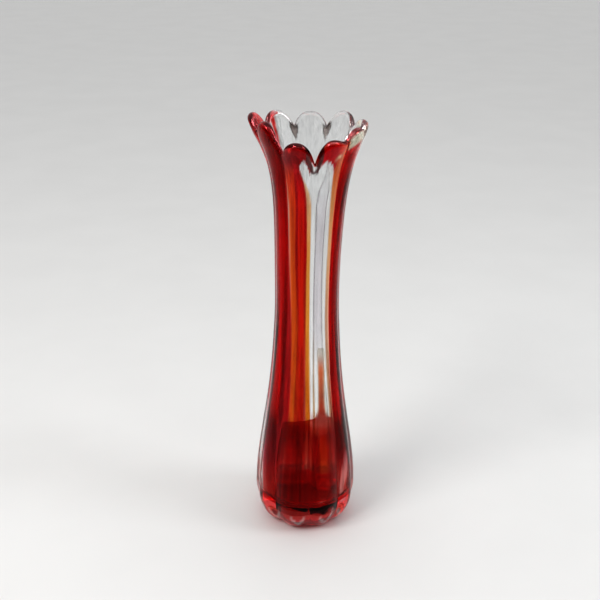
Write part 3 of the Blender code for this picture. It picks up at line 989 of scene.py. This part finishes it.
def add_sheet(name, grid, glass, tint):
    """A thin overlay through rows of (angle, row, across), closed round its edges."""
    width = len(grid[0])
    flat = [cell for cells in grid for cell in cells]
    outer = [sheet_point(angle, row, COLOUR_OUTER) for angle, row, _ in flat]
    inner = [sheet_point(angle, row, COLOUR_INNER) for angle, row, _ in flat]
    layers = [point for point, _ in outer + inner]
    inside = len(flat)
    coords = [(across, point.z) for (_, _, across), (point, _) in zip(flat, outer)]
    faces = []
    for k in range(len(grid) - 1):
        low = k * width
        high = low + width
        for c in range(width - 1):
            faces.append((low + c, low + c + 1, high + c + 1, high + c))
            faces.append((inside + low + c, inside + high + c, inside + high + c + 1, inside + low + c + 1))
        faces.append((low, high, inside + high, inside + low))
        end = low + width - 1
        faces.append((end, inside + end, inside + end + width, end + width))
    top = (len(grid) - 1) * width
    for c in range(width - 1):
        faces.append((c, inside + c, inside + c + 1, c + 1))
        faces.append((top + c, top + c + 1, inside + top + c + 1, inside + top + c))
    uvs = [[coords[v % inside] for v in face] for face in faces]
    tints = [tint(place) for _, place in outer] * 2
    return add_mesh(name, layers, faces, [0] * len(faces), [glass], uvs, tints)


def edge_angle(edge, row, side):
    """The angle of an overlay's edge at this row, set in by half the gap between overlays."""
    even = smooth(edge, FAN_FROM)
    z = angle_place(even, max(row, 0.0)).z
    inset = math.degrees(EDGE_GAP / 2 / well_radius(z))
    return smooth(edge, z) + side * inset


def add_band(name, left_edge, right_edge, glass):
    rows = [r / 2 for r in range(2 * BAND_FIRST_ROW, 2 * BODY_ROWS)]
    rows += [BODY_ROWS + FAN_ROWS * OVERLAY_TOP * k / BAND_FAN_ROWS for k in range(BAND_FAN_ROWS + 1)]
    levels = [(row, edge_angle(left_edge, row, 1), edge_angle(right_edge, row, -1)) for row in rows]
    widest = max(right - left for _, left, right in levels)
    columns = max(LEAST_BAND_COLUMNS, math.ceil(widest / BAND_COLUMN_WIDTH))
    shares = [c / columns for c in range(columns + 1)]
    grid = [[(left + (right - left) * share, row, share) for share in shares] for row, left, right in levels]
    return add_sheet(name, grid, glass, sheet_tint)


def add_wedge(name, glass):
    first = WEDGE_TOPS[0][0]
    last = WEDGE_TOPS[-1][0]
    columns = range(WEDGE_COLUMNS + 1)
    angles = [first + (last - first) * c / WEDGE_COLUMNS for c in columns]
    tops = [(smooth(WEDGE_TOPS, a) - FLOOR_TOP) / (FAN_FROM - FLOOR_TOP) * BODY_ROWS for a in angles]
    grid = [[(angles[c], row, c / WEDGE_COLUMNS) for c in columns] for row in WEDGE_FLOOR_ROWS]
    for k in range(WEDGE_ROWS + 1):
        grid.append([(angles[c], tops[c] * k / WEDGE_ROWS, c / WEDGE_COLUMNS) for c in columns])
    return add_sheet(name, grid, glass, wedge_tint)


# ---------------------------------------------------------------- materials
GLASS_IOR = 1.5
FUSED_IOR = 1.0
STREAK_SCALE = (380, 380, 6)
CORD_SCALE = (160, 160, 5)
HAZE_SCALE = 60.0
RELIEF_SCALE = 38.0
RELIEF_HEIGHT = 0.0006


def new_material(name):
    material = bpy.data.materials.new(name)
    material.use_nodes = True
    return material, material.node_tree.nodes, material.node_tree.links, shader_of(material)


def shader_of(material):
    return material.node_tree.nodes["Principled BSDF"]


def set_glass(shader, ior):
    shader.inputs["Roughness"].default_value = 0.0
    shader.inputs["IOR"].default_value = ior
    shader.inputs["Transmission Weight"].default_value = 1.0


def add_noise(nodes, links, place, scale, detail=2.0):
    noise = nodes.new("ShaderNodeTexNoise")
    noise.inputs["Scale"].default_value = scale
    noise.inputs["Detail"].default_value = detail
    links.new(place, noise.inputs["Vector"])
    return noise.outputs["Fac"]


def add_cords(nodes, links, place, scale):
    """Fine streaks drawn out along the vase, as gathered glass has."""
    stretch = nodes.new("ShaderNodeMapping")
    stretch.inputs["Scale"].default_value = scale
    links.new(place, stretch.inputs["Vector"])
    return add_noise(nodes, links, stretch.outputs["Vector"], 1.0)


def add_ramp(nodes, links, value, low, high, target):
    """Colour the target by a value, between two (position, colour) stops."""
    ramp = nodes.new("ShaderNodeValToRGB")
    for element, (position, colour) in zip(ramp.color_ramp.elements, (low, high)):
        element.position = position
        element.color = (*colour, 1)
    links.new(value, ramp.inputs["Fac"])
    links.new(ramp.outputs["Color"], target)


def add_fade(nodes, links, value, span, results, kind):
    """Map a value that runs over the span to the two results."""
    fade = nodes.new("ShaderNodeMapRange")
    fade.interpolation_type = kind
    fade.inputs["From Min"].default_value, fade.inputs["From Max"].default_value = span
    fade.inputs["To Min"].default_value, fade.inputs["To Max"].default_value = results
    links.new(value, fade.inputs["Value"])
    return fade.outputs["Result"]


def scaled(nodes, links, colour, target):
    """Colour the target by a colour times a factor, which is the input given back."""
    product = nodes.new("ShaderNodeVectorMath")
    product.operation = "SCALE"
    links.new(colour, product.inputs["Vector"])
    links.new(product.outputs["Vector"], target)
    return product.inputs["Scale"]


def add_relief(nodes, links, shader, place, strength):
    relief = nodes.new("ShaderNodeBump")
    relief.inputs["Strength"].default_value = strength
    relief.inputs["Distance"].default_value = RELIEF_HEIGHT
    links.new(add_noise(nodes, links, place, RELIEF_SCALE, 1.0), relief.inputs["Height"])
    links.new(relief.outputs["Normal"], shader.inputs["Normal"])


def stained_glass(name, ior, streaks, relief=0.0, shine=0.0):
    """Glass in the tint of each place, deepened along its streaks, over a gently uneven skin."""
    material, nodes, links, shader = new_material(name)
    set_glass(shader, ior)
    tint = nodes.new("ShaderNodeVertexColor")
    tint.layer_name = "tint"
    place = nodes.new("ShaderNodeTexCoord").outputs["Object"]
    cords = add_cords(nodes, links, place, STREAK_SCALE)
    depth = add_fade(nodes, links, cords, (0.3, 0.7), (1.0 - streaks, 1.0 + streaks * 0.3), "LINEAR")
    links.new(depth, scaled(nodes, links, tint.outputs["Color"], shader.inputs["Base Color"]))
    if relief > 0:
        add_relief(nodes, links, shader, place, relief)
    if shine > 0:
        scaled(nodes, links, tint.outputs["Color"], shader.inputs["Specular Tint"]).default_value = shine
    return material


def clear_glass(name, tint, streak, relief):
    """Clear glass with faint grey cords drawn out along the ribs, and a slightly wavy skin."""
    material, nodes, links, shader = new_material(name)
    set_glass(shader, GLASS_IOR)
    place = nodes.new("ShaderNodeTexCoord").outputs["Object"]
    cords = add_cords(nodes, links, place, CORD_SCALE)
    add_ramp(nodes, links, cords, (0.30, streak), (0.55, tint), shader.inputs["Base Color"])
    add_relief(nodes, links, shader, place, relief)
    return material


def seam_glass(name, tint, clearest):
    """Where two layers are fused: light goes straight on, with the faintest tint."""
    material, nodes, links, shader = new_material(name)
    set_glass(shader, FUSED_IOR)
    haze = add_noise(nodes, links, nodes.new("ShaderNodeTexCoord").outputs["Object"], HAZE_SCALE)
    add_ramp(nodes, links, haze, (0.35, tint), (0.65, clearest), shader.inputs["Base Color"])
    return material


CASING_GLASS = stained_glass("casing_glass", GLASS_IOR, 0.20, relief=0.05)
LIP_GLASS = stained_glass("lip_glass", GLASS_IOR, 0.10, relief=0.05, shine=4.0)
FOOT_GLASS = stained_glass("foot_glass", GLASS_IOR, 0.10, relief=0.05, shine=9.0)
SOLE_GLASS = stained_glass("ground_sole_glass", GLASS_IOR, 0.10)
shader_of(SOLE_GLASS).inputs["Roughness"].default_value = 0.6
shader_of(SOLE_GLASS).inputs["Transmission Weight"].default_value = 0.4
LINING_GLASS = clear_glass("lining_glass", (0.97, 0.98, 0.98), (0.91, 0.92, 0.93), 0.04)
FUSED_SEAM = seam_glass("fused_seam", (0.985, 0.99, 0.99), (0.995, 0.995, 0.995))
for glass in (CASING_GLASS, LINING_GLASS):
    shader_of(glass).inputs["Specular Tint"].default_value = (0.1, 0.1, 0.1, 1)

# Each overlay: its node in the frame, its glass and streaks, its slot, and its left and right edges.
BANDS = (
    ("deep_red_band_left", "deep_red_glass_left", 0.40, "dark_red_glass", BACK_LEFT_EDGE, DARK_TO_ORANGE),
    ("brick_orange_band", "brick_orange_glass", 0.34, "orange_glass", DARK_TO_ORANGE, ORANGE_TO_SCARLET),
    ("scarlet_band", "scarlet_glass", 0.34, "scarlet_glass", ORANGE_TO_SCARLET, SCARLET_TO_AMBER),
    ("amber_stripe_left", "amber_glass_left", 0.10, "amber_glass", SCARLET_TO_AMBER, CLEAR_LEFT_EDGE),
    ("amber_stripe_right", "amber_glass_right", 0.10, "amber_glass", CLEAR_RIGHT_EDGE, AMBER_TO_DARK),
    ("deep_red_band_right", "deep_red_glass_right", 0.40, "dark_red_glass", AMBER_TO_DARK, ALMOND_LEFT_EDGE),
    ("red_streak_right_edge", "red_streak_glass", 0.40, "dark_red_glass", ALMOND_RIGHT_EDGE, BACK_RIGHT_EDGE),
)


# ---------------------------------------------------------------- the vase
def join_frame(piece, node):
    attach(piece, "root")
    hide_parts(node)


def build_vase():
    casing = add_casing("casing_glass", (CASING_GLASS, FUSED_SEAM, LIP_GLASS, SOLE_GLASS, FOOT_GLASS))
    join_frame(casing, "outer_casing")
    join_frame(add_lining("lining_glass", LINING_GLASS, FUSED_SEAM), "inner_lining")
    pool = add_pool("base_pool_glass", stained_glass("red_pool_glass", FUSED_IOR, 0.14))
    join_frame(pool, "red_base_pool")
    for node, glass, streaks, slot, left, right in BANDS:
        band = add_band(node + "_glass", left, right, stained_glass(glass, FUSED_IOR, streaks))
        join_frame(band, node)
    wedge = add_wedge("back_wedge_glass", stained_glass("back_orange_glass", FUSED_IOR, 0.36))
    join_frame(wedge, "back_orange_wedge")


# ---------------------------------------------------------------- the studio
WORLD_FRONT = 0.14
WORLD_BACK = 0.68
WORLD_TOP = 0.66
BOUNCES = 48


def add_floor():
    bpy.ops.mesh.primitive_circle_add(vertices=96, radius=30, fill_type="NGON", location=(0, 0, -0.0002))
    floor = bpy.context.object
    floor.name = "studio_floor"
    material, nodes, links, shader = new_material("pale_floor")
    mottle = add_noise(nodes, links, nodes.new("ShaderNodeTexCoord").outputs["Object"], 9.0, 5.0)
    low = (0.35, (0.725, 0.725, 0.72))
    high = (0.65, (0.74, 0.74, 0.735))
    add_ramp(nodes, links, mottle, low, high, shader.inputs["Base Color"])
    shader.inputs["Roughness"].default_value = 0.7
    floor.data.materials.append(material)


def add_light(name, place, target, size, power, colour):
    data = bpy.data.lights.new(name, "AREA")
    data.shape = "RECTANGLE"
    data.size, data.size_y = size
    data.energy = power
    data.color = colour
    light = bpy.data.objects.new(name, data)
    light.location = place
    light.rotation_euler = (Vector(target) - Vector(place)).to_track_quat("-Z", "Y").to_euler()
    bpy.context.scene.collection.objects.link(light)


def add_world():
    """Soft grey light all round, brightest overhead and behind the vase, and dimmest behind the camera."""
    world = bpy.data.worlds.new("studio")
    bpy.context.scene.world = world
    world.use_nodes = True
    nodes = world.node_tree.nodes
    links = world.node_tree.links
    place = nodes.new("ShaderNodeTexCoord")
    split = nodes.new("ShaderNodeSeparateXYZ")
    links.new(place.outputs["Generated"], split.inputs["Vector"])
    results = (WORLD_FRONT, WORLD_BACK)
    behind = add_fade(nodes, links, split.outputs["Y"], (-0.6, 0.8), results, "SMOOTHSTEP")
    overhead = add_fade(nodes, links, split.outputs["Z"], (0.3, 0.95), (0.0, 1.0), "SMOOTHSTEP")
    level = nodes.new("ShaderNodeMix")
    level.inputs["B"].default_value = WORLD_TOP
    links.new(overhead, level.inputs["Factor"])
    links.new(behind, level.inputs["A"])
    links.new(level.outputs["Result"], nodes["Background"].inputs["Color"])
    nodes["Background"].inputs["Strength"].default_value = 1.0


def add_camera():
    data = bpy.data.cameras.new("camera")
    data.lens = 60
    data.sensor_width = 36
    camera = bpy.data.objects.new("camera", data)
    turn = Matrix.Rotation(math.radians(66.7), 4, "X") @ Matrix.Rotation(math.radians(0.47), 4, "Z")
    camera.matrix_world = Matrix.Translation((-0.0062, -0.82, 0.574)) @ turn
    bpy.context.scene.collection.objects.link(camera)
    bpy.context.scene.camera = camera


def set_stage():
    add_floor()
    add_world()
    add_light("window_left", (-0.9, -0.8, 1.3), (0, 0, 0.2), (0.7, 0.7), 9.4, (1.0, 0.98, 0.96))
    add_light("window_right", (1.1, -0.3, 1.1), (0, 0, 0.2), (0.5, 0.9), 4.3, (0.96, 0.98, 1.0))
    add_camera()
    scene = bpy.context.scene
    scene.view_settings.view_transform = "Standard"
    scene.view_settings.look = "High Contrast"
    scene.cycles.max_bounces = BOUNCES
    scene.cycles.transmission_bounces = BOUNCES
    scene.cycles.glossy_bounces = BOUNCES


build_vase()
set_stage()
